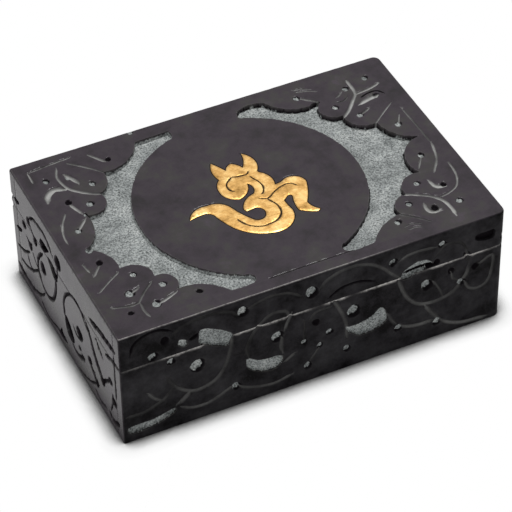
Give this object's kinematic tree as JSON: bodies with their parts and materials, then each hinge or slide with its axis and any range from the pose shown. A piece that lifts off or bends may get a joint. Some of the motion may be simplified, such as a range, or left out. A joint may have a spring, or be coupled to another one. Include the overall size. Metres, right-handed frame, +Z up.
{
  "type": "tarot card box",
  "caption": "Black dyed, carved soapstone box for a tarot deck, with a crescent moon on each side of its hinged lid and an inlaid brass Om sign.",
  "frame": {"origin": "middle of the underside of the stone base, on the surface that the box stands on", "axes": "+X to the right along the long side, +Y to the back, where the hinges are, +Z up; the front faces -Y"},
  "size_m": [0.1524, 0.1047, 0.051],
  "materials": {
    "stone": "dyed black and waxed, bare where it is cut deep",
    "brass": "satin, tarnished"
  },
  "bodies": {
    "base": {"base_floor": "stone", "base_front_wall": "stone", "base_back_wall": "stone", "base_left_wall": "stone", "base_right_wall": "stone", "hinge_base_leaf_left": "brass", "hinge_base_leaf_right": "brass", "hinge_pin_left": "brass", "hinge_pin_right": "brass", "hinge_base_nails": "brass"},
    "lid": {"lid_top_panel": "stone", "lid_front_rim": "stone", "lid_back_rim": "stone", "lid_left_rim": "stone", "lid_right_rim": "stone", "om_inlay": "brass", "hinge_lid_leaf_left": "brass", "hinge_lid_leaf_right": "brass", "hinge_lid_nails": "brass"}
  },
  "joints": [
    {"name": "lid_hinge", "type": "hinge", "parent": "base", "child": "lid", "pos_m": [0, 0.0524, 0.0355], "axis": [-1, 0, 0], "range_deg": [0, 190]}
  ]
}
